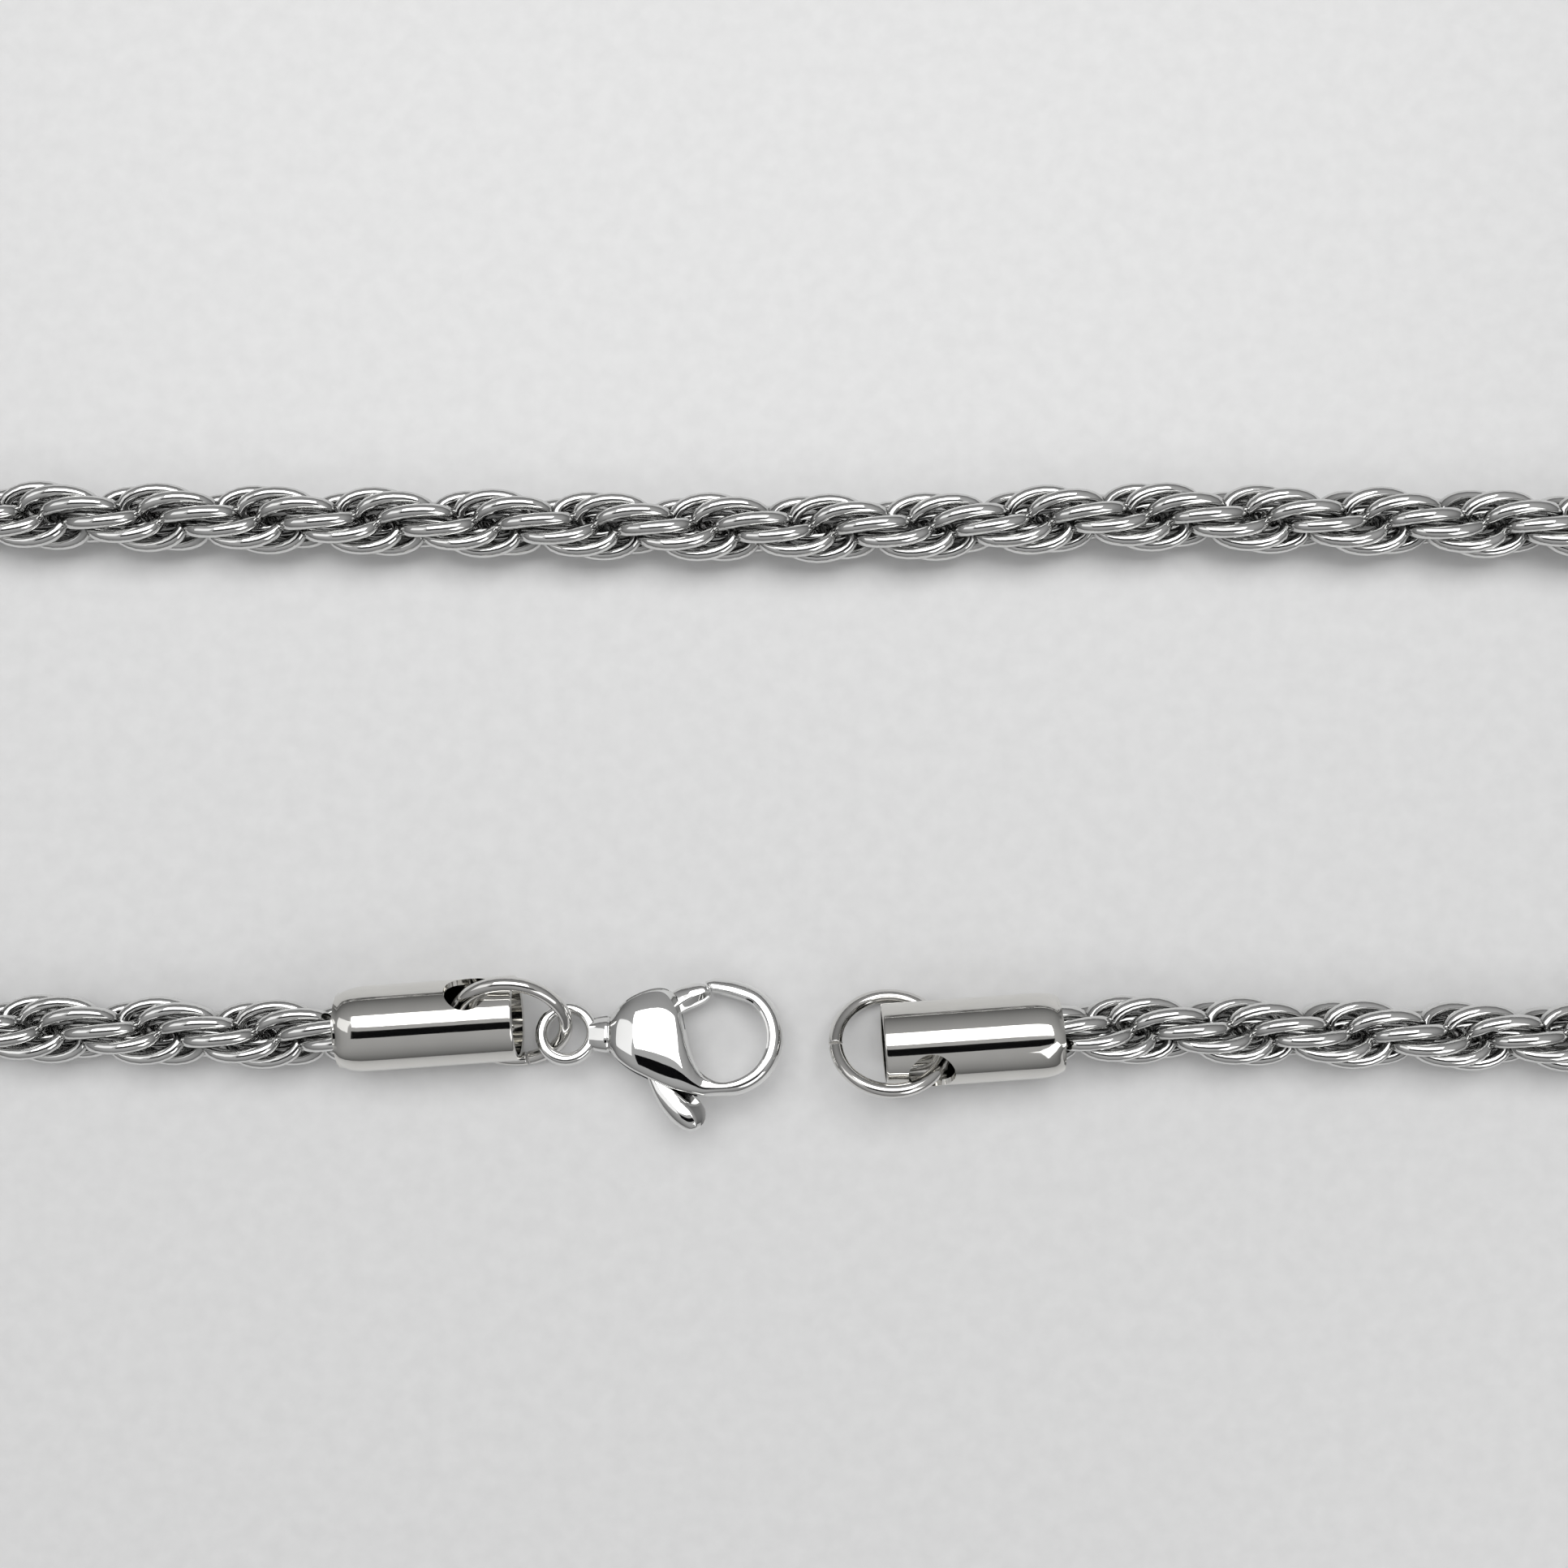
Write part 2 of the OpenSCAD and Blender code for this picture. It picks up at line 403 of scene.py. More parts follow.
oval = rope.add(
    "GeometryNodeCurvePrimitiveCircle", {}, {"Resolution": rope.given("Around"), "Radius": 1.0}
)
sizes = rope.add(
    "ShaderNodeCombineXYZ", {}, {0: rope.given("Half Length"), 1: rope.given("Half Width"), 2: 1.0}
)
oval = rope.add("GeometryNodeTransform", {}, {"Geometry": oval["Curve"], "Scale": sizes[0]})
wire = rope.add(
    "GeometryNodeCurvePrimitiveCircle",
    {},
    {"Resolution": rope.given("Sides"), "Radius": rope.given("Wire Radius")},
)
link = rope.add(
    "GeometryNodeCurveToMesh", {}, {"Curve": oval["Geometry"], "Profile Curve": wire["Curve"]}
)
tilt = rope.add("ShaderNodeCombineXYZ", {}, {0: 0.0, 1: rope.given("Tilt"), 2: 0.0})
offset = rope.add("ShaderNodeCombineXYZ", {}, {0: 0.0, 1: rope.given("Offset"), 2: 0.0})
link = rope.add(
    "GeometryNodeTransform",
    {},
    {"Geometry": link["Mesh"], "Translation": offset[0], "Rotation": tilt[0]},
)

# %% How far out each point of a link is, kept for the finish's painted shade between the links
place = rope.add("GeometryNodeInputPosition", {}, {})
parts = rope.add("ShaderNodeSeparateXYZ", {}, {0: place[0]})
across = rope.add("ShaderNodeCombineXYZ", {}, {0: 0.0, 1: parts[1], 2: parts[2]})
height = rope.add("ShaderNodeVectorMath", {"operation": "LENGTH"}, {0: across[0]})
depth = rope.add(
    "ShaderNodeMath", {"operation": "DIVIDE"}, {0: height["Value"], 1: rope.given("Reach")}
)
link = rope.add(
    "GeometryNodeStoreNamedAttribute",
    {"data_type": "FLOAT", "domain": "POINT"},
    {"Geometry": link["Geometry"], "Name": "depth", "Value": depth[0]},
)

# %% The walk along the line, and the turn of every link
walk = rope.add(
    "GeometryNodeCurveToPoints",
    {"mode": "LENGTH"},
    {"Curve": rope.given("Geometry"), "Length": rope.given("Step")},
)
index = rope.add("GeometryNodeInputIndex", {}, {})
after = rope.add(
    "FunctionNodeCompare",
    {"data_type": "INT", "operation": "GREATER_EQUAL"},
    {2: index[0], 3: rope.given("First")},
)
before = rope.add(
    "FunctionNodeCompare",
    {"data_type": "INT", "operation": "LESS_THAN"},
    {2: index[0], 3: rope.given("Last")},
)
wanted = rope.add("FunctionNodeBooleanMath", {"operation": "AND"}, {0: after[0], 1: before[0]})
facing = rope.add(
    "FunctionNodeAlignRotationToVector",
    {"axis": "X", "pivot_axis": "AUTO"},
    {"Vector": walk["Tangent"]},
)
facing = rope.add(
    "FunctionNodeAlignRotationToVector",
    {"axis": "Z", "pivot_axis": "X"},
    {"Rotation": facing[0], "Vector": (0, 0, 1)},
)
loose = rope.add(
    "FunctionNodeRandomValue", {"data_type": "FLOAT"}, {2: -LOOSE, 3: LOOSE, "Seed": rope.given("Seed")}
)
turn = rope.add(
    "ShaderNodeMath", {"operation": "MULTIPLY_ADD"}, {0: index[0], 1: rope.given("Turn"), 2: loose[1]}
)
spin = rope.add("FunctionNodeAxisAngleToRotation", {}, {"Axis": (1, 0, 0), "Angle": turn[0]})
facing = rope.add(
    "FunctionNodeRotateRotation",
    {"rotation_space": "LOCAL"},
    {"Rotation": facing[0], "Rotate By": spin[0]},
)

# %% Lay the links on the points and make them one mesh
links = rope.add(
    "GeometryNodeInstanceOnPoints",
    {},
    {
        "Points": walk["Points"],
        "Selection": wanted[0],
        "Instance": link[0],
        "Rotation": facing[0],
    },
)
links = rope.add("GeometryNodeRealizeInstances", {}, {"Geometry": links[0]})
links = rope.add("GeometryNodeSetShadeSmooth", {}, {"Geometry": links[0]})
links = rope.add(
    "GeometryNodeSetMaterial", {}, {"Geometry": links[0], "Material": rope.given("Material")}
)
rope.finish(links[0])
print("rope tree:", len(rope.tree.nodes), "nodes")

# %% [markdown]
# ## Links laid in pieces
# The links of a real chain share a bend between them. So the chain is cut into pieces that
# run from the middle of one stretch to the middle of the next, each with one hinge inside,
# and each piece follows the smooth curve across its hinge. A piece is a whole number of links.

# %% Cut the chain at the middles of the stretches
order = [f"left_{k:02d}" for k in range(len(hinges["left"]), 0, -1)] + ["middle"]
order += [f"right_{k:02d}" for k in range(1, len(hinges["right"]) + 1)]

# A chord that is shorter than the straight ones is taken as an arc that turns by 45 degrees.
HALF_BEND = math.pi / 8
BEND_SHARE = HALF_BEND / math.sin(HALF_BEND)
chords = [(b - a).length for a, b in zip(stations, stations[1:])]
short_chord = max(chords[2:-2]) - 0.1 * MM
lengths = [chord * BEND_SHARE if chord < short_chord else chord for chord in chords]
lengths = [length * line_length / sum(lengths) for length in lengths]
starts = [sum(lengths[:i]) for i in range(len(lengths) + 1)]
count = int(line_length / STEP) + 1
cuts = [0]
for i in range(1, len(order) - 1):
    cuts.append(round((starts[i] + lengths[i] / 2) / STEP))
cuts.append(count)
print(count, "links in", len(cuts) - 1, "pieces")


# %% Lay the links, piece by piece
def middle_of(i):
    """The middle of a stretch, where one piece hands over to the next."""
    if i == 0 or i == len(order) - 1:
        hinge, end = (stations[1], stations[0]) if i == 0 else (stations[-2], stations[-1])
        return hinge.lerp(end, 0.5)
    return stations[i].lerp(stations[i + 1], 0.5)


LINK_VALUES = {
    "Step": STEP,
    "Turn": math.pi + LAY,
    "Offset": link_offset,
    "Tilt": -TILT,
    "Half Length": HALF_LENGTH / shrink(AROUND),
    "Half Width": HALF_WIDTH / shrink(AROUND),
    "Wire Radius": WIRE / 2 / shrink(SIDES),
    "Reach": ROPE_RADIUS,
    "Around": AROUND,
    "Sides": SIDES,
    "Seed": 7,
    "Material": link_steel,
}
for i in range(len(order) - 1):
    body_a, body_b = order[i], order[i + 1]
    # The curve is one object: each run of the tree keeps the links from First up to Last.
    values = dict(LINK_VALUES, First=cuts[i], Last=cuts[i + 1])
    piece = rope.run(chain_line, f"links_{body_a}_to_{body_b}", values)
    rounding = piece.modifiers.new("rounding", "SUBSURF")
    rounding.levels = rounding.render_levels = 1
    middle_of(i)
    middle_of(i + 1)
    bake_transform(piece)
    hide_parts(f"chain_{body_b}")
    if i == 0:
        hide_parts(f"chain_{body_a}")
bpy.data.objects.remove(chain_line)
print("links laid:", cuts[-1])

# %% [markdown]
# ## Jump rings
# A jump ring is a length of round wire bent into a circle, with its two sawn ends pushed
# together. Geometry Nodes make it by a rule: an arc that is a little short of a circle,
# and a round profile run along it with closed ends. The nick at the join stays visible.


# %% The tree for a ring
RING_POINTS = 144
WIRE_POINTS = 24
ring_tree = Tree("jump_ring")
for name in ("Radius", "Wire Radius", "Split At", "Split"):
    ring_tree.input(name, "NodeSocketFloat")
ring_tree.input("Material", "NodeSocketMaterial")
sweep = ring_tree.add(
    "ShaderNodeMath", {"operation": "SUBTRACT"}, {0: 2 * math.pi, 1: ring_tree.given("Split")}
)
arc = ring_tree.add(
    "GeometryNodeCurveArc",
    {"mode": "RADIUS"},
    {
        "Resolution": RING_POINTS,
        "Radius": ring_tree.given("Radius"),
        "Start Angle": ring_tree.given("Split At"),
        "Sweep Angle": sweep[0],
    },
)
wire = ring_tree.add(
    "GeometryNodeCurvePrimitiveCircle",
    {},
    {"Resolution": WIRE_POINTS, "Radius": ring_tree.given("Wire Radius")},
)
ring_mesh = ring_tree.add(
    "GeometryNodeCurveToMesh",
    {},
    {"Curve": arc["Curve"], "Profile Curve": wire["Curve"], "Fill Caps": True},
)
ring_mesh = ring_tree.add(
    "GeometryNodeSetMaterial", {}, {"Geometry": ring_mesh[0], "Material": ring_tree.given("Material")}
)
ring_tree.finish(ring_mesh[0])
print("ring tree:", len(ring_tree.tree.nodes), "nodes")

# %% Make the two rings
RING_RADIUS = 3.1 * MM
RING_WIRE = 0.8 * MM
SPLIT_ANGLE = math.radians(2.5)
BROKEN_EDGE = 0.05 * MM


def smooth(piece, angle=35):
    """Smooth shading with creases kept where faces meet at more than the angle."""
    for face in piece.data.polygons:
        face.use_smooth = True
    piece.data.set_sharp_from_angle(angle=math.radians(angle))


def break_edges(piece, angle):
    """A small Bevel on the edges where faces meet at more than the angle."""
    edge = piece.modifiers.new("edge", "BEVEL")
    edge.width = BROKEN_EDGE
    edge.segments = 2
    edge.angle_limit = math.radians(angle)


def jump_ring(name, joint_name, side, split_at):
    """A ring in the plane of its joint's axis and X. Its middle is on this side of the joint."""
    joint = joints[joint_name]
    across = Vector(joint["axis"]) * side
    middle = Vector(joint["pos_m"]) + Vector((side * RING_RADIUS, 0, 0))
    x = Vector((1, 0, 0))
    plane = Matrix((x, -across, x.cross(-across))).transposed().to_4x4()
    values = {
        "Radius": RING_RADIUS,
        "Wire Radius": RING_WIRE / 2,
        "Split At": math.radians(split_at),
        "Split": SPLIT_ANGLE,
        "Material": ring_steel,
    }
    seed = bpy.data.objects.new("seed", bpy.data.meshes.new("seed"))
    bpy.context.collection.objects.link(seed)
    piece = ring_tree.run(seed, name, values)
    bpy.data.objects.remove(seed)
    piece.data.transform(Matrix.Translation(middle) @ plane)
    smooth(piece)
    break_edges(piece, 50)
    return piece


clasp_ring = jump_ring("clasp_ring_wire", "clasp_ring_swing", 1, -75)
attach(clasp_ring, "clasp_ring")
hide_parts("clasp_ring")
end_ring = jump_ring("end_ring_wire", "end_ring_swing", -1, 185)
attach(end_ring, "end_ring")
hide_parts("end_ring")
for piece in (clasp_ring, end_ring):
    print(piece.name, len(piece.data.polygons), "faces")

# %% [markdown]
# ## Tube caps
# A cap is a short thin-walled tube, turned in at one end and crimped on the chain, and left
# open at the other, where a cross hole takes the jump ring. It is built as a profile turned
# round its axis, with the crimp's shallow dents as a ripple on the turned-in lip, and the
# hole is cut with a Boolean. A Bevel breaks the sharp edges, as tumbling does.

# %% Sizes of a cap and its profile
CAP_RADIUS = 2.4 * MM
CAP_LENGTH = 10.0 * MM
CAP_WALL = 0.33 * MM
LIP_BORE = 2.06 * MM
HOLE_RADIUS = 1.32 * MM
HOLE_FROM_MOUTH = 2.5 * MM
HOLE_REACH = 4.0 * MM
TURNS = 128
CRIMP_LENGTH = 1.5 * MM
CRIMP_DEPTH = 0.24 * MM
OUTSIDE_FROM = LIP_BORE + 0.06 * MM


def cap_profile():
    """Distance along the axis and radius, from the lip's inside, over the outside, and back."""
    bore = CAP_RADIUS - CAP_WALL
    lip = [(0.10, 2.20), (0.30, 2.29), (0.60, 2.352), (1.0, 2.385), (1.5, 2.4)]
    outside = [(x * MM, r * MM) for x, r in lip]
    outside += [(x * MM, CAP_RADIUS) for x in (2.5, 4, 5.5, 7, 8.5, 9.3, 9.86)]
    rim = [(CAP_LENGTH - 0.04 * MM, CAP_RADIUS - 0.015 * MM), (CAP_LENGTH, CAP_RADIUS - 0.06 * MM)]
    rim += [(CAP_LENGTH, bore + 0.06 * MM), (CAP_LENGTH - 0.05 * MM, bore)]
    inside = [(x * MM, bore) for x in (9, 7, 5, 3, 1.4)]
    mouth = [(0.8 * MM, LIP_BORE), (0.05 * MM, LIP_BORE), (0.0, LIP_BORE + 0.05 * MM)]
    return outside + rim + inside + mouth


def crimp(x, angle, seed):
    """How far the crimping jaws pushed the lip in at this place."""
    near = max(0.0, 1 - x / CRIMP_LENGTH)
    dents = 0.5 + 0.3 * math.cos(4 * angle + seed) + 0.2 * math.cos(7 * angle + 2.3 * seed)
    return CRIMP_DEPTH * dents * near * near


# %% Turn a profile, and other tools for making meshes
def mesh_object(name, corners, faces):
    mesh = bpy.data.meshes.new(name)
    mesh.from_pydata(corners, [], faces)
    made = bpy.data.objects.new(name, mesh)
    bpy.context.collection.objects.link(made)
    return made


def turned(name, profile, shape):
    """A closed profile turned round +X, with shape(x, angle) taken off the radius of its outside."""
    corners, faces = [], []
    for i in range(TURNS):
        angle = 2 * math.pi * i / TURNS
        for x, r in profile:
            r = r - shape(x, angle) if r > OUTSIDE_FROM else r
            corners.append((x, r * math.cos(angle), r * math.sin(angle)))
    n = len(profile)
    for i in range(TURNS):
        for j in range(n):
            a, b = i * n + j, i * n + (j + 1) % n
            c, d = ((i + 1) % TURNS) * n + (j + 1) % n, ((i + 1) % TURNS) * n + j
            faces.append((a, d, c, b))
    return mesh_object(name, corners, faces)


def outward(piece):
    """Turns every face outward."""
    work = bmesh.new()
    work.from_mesh(piece.data)
    bmesh.ops.remove_doubles(work, verts=work.verts, dist=1e-7)
    bmesh.ops.recalc_face_normals(work, faces=work.faces)
    work.to_mesh(piece.data)
    work.free()


def applied(piece):
    """Replaces a piece's mesh by the result of its modifiers."""
    bpy.context.view_layer.update()
    evaluated = piece.evaluated_get(bpy.context.evaluated_depsgraph_get())
    mesh = bpy.data.meshes.new_from_object(evaluated)
    piece.modifiers.clear()
    piece.data = mesh
    return piece


def combine(piece, other, operation):
    """Cuts the other object out of the piece, or joins it on, and removes it."""
    boolean = piece.modifiers.new("combine", "BOOLEAN")
    boolean.operation = operation
    boolean.solver = "EXACT"
    boolean.object = other
    applied(piece)
    bpy.data.objects.remove(other)


def prism(name, outline, low, high):
    """A closed prism over an outline in the XY plane."""
    n = len(outline)
    corners = [(x, y, low) for x, y in outline] + [(x, y, high) for x, y in outline]
    faces = [tuple(range(n))[::-1], tuple(range(n, 2 * n))]
    faces += [(i, (i + 1) % n, (i + 1) % n + n, i + n) for i in range(n)]
    made = mesh_object(name, corners, faces)
    outward(made)
    return made


def circle(middle, radius, count=96):
    turns = [2 * math.pi * i / count for i in range(count)]
    return [(middle[0] + radius * math.cos(a), middle[1] + radius * math.sin(a)) for a in turns]


# %% Make the two caps
def tube_cap(side, hole_lean, seed):
    cap = turned(f"tube_cap_{side}", cap_profile(), lambda x, angle: crimp(x, angle, seed))
    outward(cap)
    hole = prism("hole", circle((0, 0), HOLE_RADIUS), -HOLE_REACH, HOLE_REACH)
    hole.data.transform(
        Matrix.Translation((CAP_LENGTH - HOLE_FROM_MOUTH, 0, 0)) @ Matrix.Rotation(-hole_lean, 4, "X")
    )
    combine(cap, hole, "DIFFERENCE")
    along = last_direction(side)
    low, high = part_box(f"end_cap_{side}")
    start = (low + high) / 2 - along * CAP_LENGTH / 2
    up = Vector((0, 0, 1))
    place = Matrix((along, up.cross(along), up)).transposed().to_4x4()
    cap.data.transform(Matrix.Translation(start) @ place)
    cap.data.materials.clear()
    cap.data.materials.append(cap_steel)
    break_edges(cap, 40)
    smooth(cap, 40)
    return cap


for side, hole_lean, seed in (("left", 55, 0.4), ("right", 40, 2.1)):
    cap = tube_cap(side, math.radians(hole_lean), seed)
    body = f"{side}_{len(hinges[side]):02d}"
    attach(cap, body)
    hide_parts(f"end_cap_{side}")
    print(cap.name, len(cap.data.polygons), "faces")

# %% [markdown]
# ## The clasp's own frame
# The clasp lies rolled a little over. The model's mount in the hook's opening and the axis
# of the lever's joint give that tilt, so the clasp is shaped flat, in millimetres from the
# middle of its eye with +X towards the hook, and then put in place in one step.

# %% Find the frame
HOOK_AT = Vector((9.0, -0.3, 0.0))
clasp_up = -Vector(joints["clasp_lever_press"]["axis"])
clasp_x = Vector((1, 0, 0))
clasp_turn = Matrix((clasp_x, clasp_up.cross(clasp_x), clasp_up)).transposed()
eye_at = Vector(mounts["hook_opening"]["pos_m"]) - clasp_turn @ HOOK_AT * MM
clasp_place = Matrix.Translation(eye_at) @ clasp_turn.to_4x4() @ Matrix.Scale(MM, 4)
print("eye at", [round(v, 5) for v in eye_at])

# %% [markdown]
# ## Lofting the cast clasp
# Body and hook are one casting that flows from the neck, swells, and runs out round the
# hook. It is lofted: each station has a point on the edge that faces the opening, a point
# on the outer edge, and the heights of its section. A section has a low crown between two
# straight walls, and a flat facet runs down from the crown's ridge to the inner wall. The
# peak says how far from the middle the crown is highest.


# %% A curve through rows of numbers
def between(rows, t):
    """Catmull-Rom through rows of numbers, at t rows from the first."""
    i = min(int(t), len(rows) - 2)
    f = t - i
    p0, p1, p2, p3 = (rows[max(0, min(len(rows) - 1, i + k))] for k in (-1, 0, 1, 2))
    return [
        b + 0.5 * f * (c - a + f * (2 * a - 5 * b + 4 * c - d + f * (3 * (b - c) + d - a)))
        for a, b, c, d in zip(p0, p1, p2, p3)
    ]


# %% The section
CORNER = 0.13
CORNER_CUT = 0.3
FACET_STEPS = 4
CROWN_STEPS = 15


def section(width, half, inner_edge, outer_edge, ridge, peak):
    """Points round a section: u is 1 on the inner wall and -1 on the outer one, z is the height."""
    corner = min(CORNER, inner_edge / 2, outer_edge / 2)
    u_corner = corner / (width / 2)

    def crown(u):
        return outer_edge + (half - outer_edge) * (1 - abs((u - peak) / (1 + peak)) ** 3)

    top = [(1, 0), (1, inner_edge - corner)]
    top.append((1 - CORNER_CUT * u_corner, inner_edge - CORNER_CUT * corner))
    for k in range(FACET_STEPS):
        share = k / FACET_STEPS
        top.append(
            (
                (1 - u_corner) * (1 - share) + ridge * share,
                inner_edge * (1 - share) + crown(ridge) * share,
            )
        )
    for k in range(CROWN_STEPS + 1):
        u = ridge + (u_corner - 1 - ridge) * k / CROWN_STEPS
        top.append((u, crown(u)))
    top.append((CORNER_CUT * u_corner - 1, outer_edge - CORNER_CUT * corner))
    top += [(-1, outer_edge - corner), (-1, 0)]
    return top + [(u, -z) for u, z in reversed(top[1:-1])]


# %% The loft
def loft(name, rows, per_span=8):
    """Rows: inner x, y, outer x, y, half thickness, two edges, ridge, peak. Ends are closed."""
    corners, faces = [], []
    steps = per_span * (len(rows) - 1)
    for s in range(steps + 1):
        ix, iy, ox, oy, *heights = between(rows, s / per_span)
        ring = section(math.dist((ix, iy), (ox, oy)), *heights)
        for u, z in ring:
            corners.append(((ix + ox) / 2 + (ix - ox) / 2 * u, (iy + oy) / 2 + (iy - oy) / 2 * u, z))
    around = len(ring)
    for s in range(steps):
        for k in range(around):
            a, b = s * around + k, s * around + (k + 1) % around
            faces.append((a, b, b + around, a + around))
    faces.append(tuple(range(around))[::-1])
    faces.append(tuple(range(steps * around, (steps + 1) * around)))
    made = mesh_object(name, corners, faces)
    outward(made)
    return made


def on_hook(angle, radius):
    a = math.radians(angle)
    return HOOK_AT.x + radius * math.cos(a), HOOK_AT.y + radius * math.sin(a)


def hook_station(angle, inner, outer, *heights):
    return (*on_hook(angle, inner), *on_hook(angle, outer), *heights)


# %% The stations of the body and the hook
HOOK_START = -98
HOOK_STEP = 25
HOOK_HEIGHTS = (0.84, 0.68, 0.32, 0.55, 0.45)
body_stations = [
    (1.30, 0.84, 1.30, -0.84, 0.60, 0.34, 0.34, 0.50, 0.00),
    (1.75, 0.93, 1.75, -0.98, 0.78, 0.40, 0.42, 0.60, 0.00),
    (2.25, 1.00, 2.25, -1.05, 0.92, 0.48, 0.52, 0.60, 0.00),
    (2.42, 0.97, 2.42, -1.02, 0.88, 0.46, 0.50, 0.60, 0.00),
    (2.58, 1.10, 2.56, -1.12, 0.98, 0.62, 0.66, 0.80, 0.00),
    (3.05, 1.55, 3.00, -1.56, 1.22, 0.82, 0.90, 0.88, 0.00),
    (3.80, 2.08, 3.70, -2.05, 1.44, 0.96, 1.06, 0.90, 0.00),
    (4.80, 2.46, 4.50, -2.45, 1.57, 0.98, 1.12, 0.90, 0.00),
    (5.66, 2.46, 5.30, -2.82, 1.60, 0.90, 1.12, 0.86, 0.00),
    (6.30, 1.92, 5.95, -3.08, 1.56, 0.64, 1.08, 0.70, 0.00),
    (6.60, 0.90, 6.45, -3.24, 1.46, 0.56, 1.00, 0.66, 0.00),
    (6.80, -0.12, 6.90, -3.36, 1.32, 0.52, 0.90, 0.62, 0.00),
    (7.12, -1.26, 7.36, -3.45, 1.14, 0.50, 0.78, 0.58, 0.00),
    (7.66, -2.20, 7.90, -3.52, 0.96, 0.54, 0.62, 0.50, 0.00),
    hook_station(HOOK_START, 2.46, 3.22, 0.86, 0.64, 0.42, 0.50, 0.30),
]
for k in range(1, 7):
    angle = HOOK_START + HOOK_STEP * k
    inner = 2.44 - 0.015 * k * (6 - k)
    outer = 3.2 + 0.005 * k * k
    body_stations.append(hook_station(angle, inner, outer, *HOOK_HEIGHTS))
body_stations += [
    hook_station(76, 2.38, 3.36, 0.82, 0.66, 0.32, 0.55, 0.45),
    (8.64, 2.27, 8.50, 3.14, 0.78, 0.62, 0.32, 0.55, 0.45),
    (8.26, 2.34, 8.00, 3.03, 0.72, 0.58, 0.40, 0.50, 0.30),
    (8.22, 2.33, 7.80, 2.93, 0.64, 0.52, 0.38, 0.40, 0.20),
]
casting = loft("clasp_casting", body_stations)
print("casting:", len(casting.data.polygons), "faces")

# %% [markdown]
# ## The eye and the slot
# The eye is a thick ring with a rounded section, turned round Z and joined to the neck by
# a union. The lever runs in a slot that opens at the top, at the front and along the lower
# edge, so the slot is cut with a prism through the middle of the casting. Its faces get a
# dark steel, which is painted shade in the recess.


# %% Turn the eye
EYE_RADIUS = 1.44
EYE_HALF_WIDTH = 0.35
EYE_HALF_HEIGHT = 0.52
EYE_SQUARENESS = 2.6


def bulge(value, squareness):
    return math.copysign(abs(value) ** (2 / squareness), value)


def eye_ring(name, count=96, around=32):
    corners, faces = [], []
    for i in range(count):
        a = 2 * math.pi * i / count
        for j in range(around):
            b = 2 * math.pi * j / around
            r = EYE_RADIUS + EYE_HALF_WIDTH * bulge(math.cos(b), EYE_SQUARENESS)
            z = EYE_HALF_HEIGHT * bulge(math.sin(b), EYE_SQUARENESS)
            corners.append((r * math.cos(a), r * math.sin(a), z))
    for i in range(count):
        for j in range(around):
            a, b = i * around + j, i * around + (j + 1) % around
            c, d = (i + 1) % count * around + (j + 1) % around, (i + 1) % count * around + j
            faces.append((a, d, c, b))
    made = mesh_object(name, corners, faces)
    outward(made)
    return made


# %% Join the eye and cut the slot
SLOT_HALF = 0.66
ON_PLANE = 1e-4
slot_outline = [
    (4.10, 0.90), (4.30, 1.60), (5.00, 2.00), (5.90, 2.90), (6.60, 3.20), (8.00, 2.40), (7.50, 0.30),
    (6.10, 0.10), (5.95, -0.40), (6.20, -1.60), (6.90, -2.60), (8.00, -4.40), (5.00, -5.40),
    (2.05, -3.40), (2.48, -1.00), (3.30, -0.50),
]


def paint_slot_shade(piece):
    """Gives the slot's own faces the second finish, painted shade in the recess. Their corners all lie
    on its two planes.
    """
    for face in piece.data.polygons:
        heights = [abs(piece.data.vertices[v].co.z) for v in face.vertices]
        if all(abs(height - SLOT_HALF) < ON_PLANE for height in heights):
            face.material_index = 1


combine(casting, eye_ring("eye"), "UNION")
combine(casting, prism("slot", slot_outline, -SLOT_HALF, SLOT_HALF), "DIFFERENCE")
casting.data.materials.clear()
casting.data.materials.append(clasp_steel)
# The second finish is painted shade for the slot's faces.
casting.data.materials.append(slot_steel)
paint_slot_shade(casting)
casting.data.transform(clasp_place)
smooth(casting, 38)
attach(casting, "clasp")
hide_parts("clasp_body")
print("casting:", len(casting.data.polygons), "faces")

# %% [markdown]
# ## The lever
# The lever is one pressed and polished piece: a nose that meets the tip of the hook, a web
# on the pin, and a thumb tab. Nose and tab are lofted like the body, thin where they run in
# the slot and fuller outside it, and the web between them is hidden in the body.

# %% Loft the nose and the tab, and join them
nose_stations = [
    (4.75, 0.35, 4.75, 1.50, 0.46, 0.36, 0.36, 0.60, 0.00),
    (5.50, 0.60, 5.45, 1.95, 0.48, 0.38, 0.38, 0.60, 0.00),
    (6.10, 0.95, 5.95, 2.36, 0.52, 0.38, 0.38, 0.50, 0.00),
    (6.60, 1.22, 6.45, 2.64, 0.62, 0.34, 0.34, 0.30, 0.00),
    (7.20, 1.48, 7.05, 2.84, 0.74, 0.34, 0.30, 0.20, 0.00),
    (7.75, 1.76, 7.46, 2.88, 0.74, 0.34, 0.30, 0.20, 0.00),
    (8.04, 1.99, 7.60, 2.86, 0.70, 0.36, 0.30, 0.20, 0.00),
    (8.19, 2.20, 7.72, 2.84, 0.60, 0.36, 0.32, 0.20, 0.00),
]
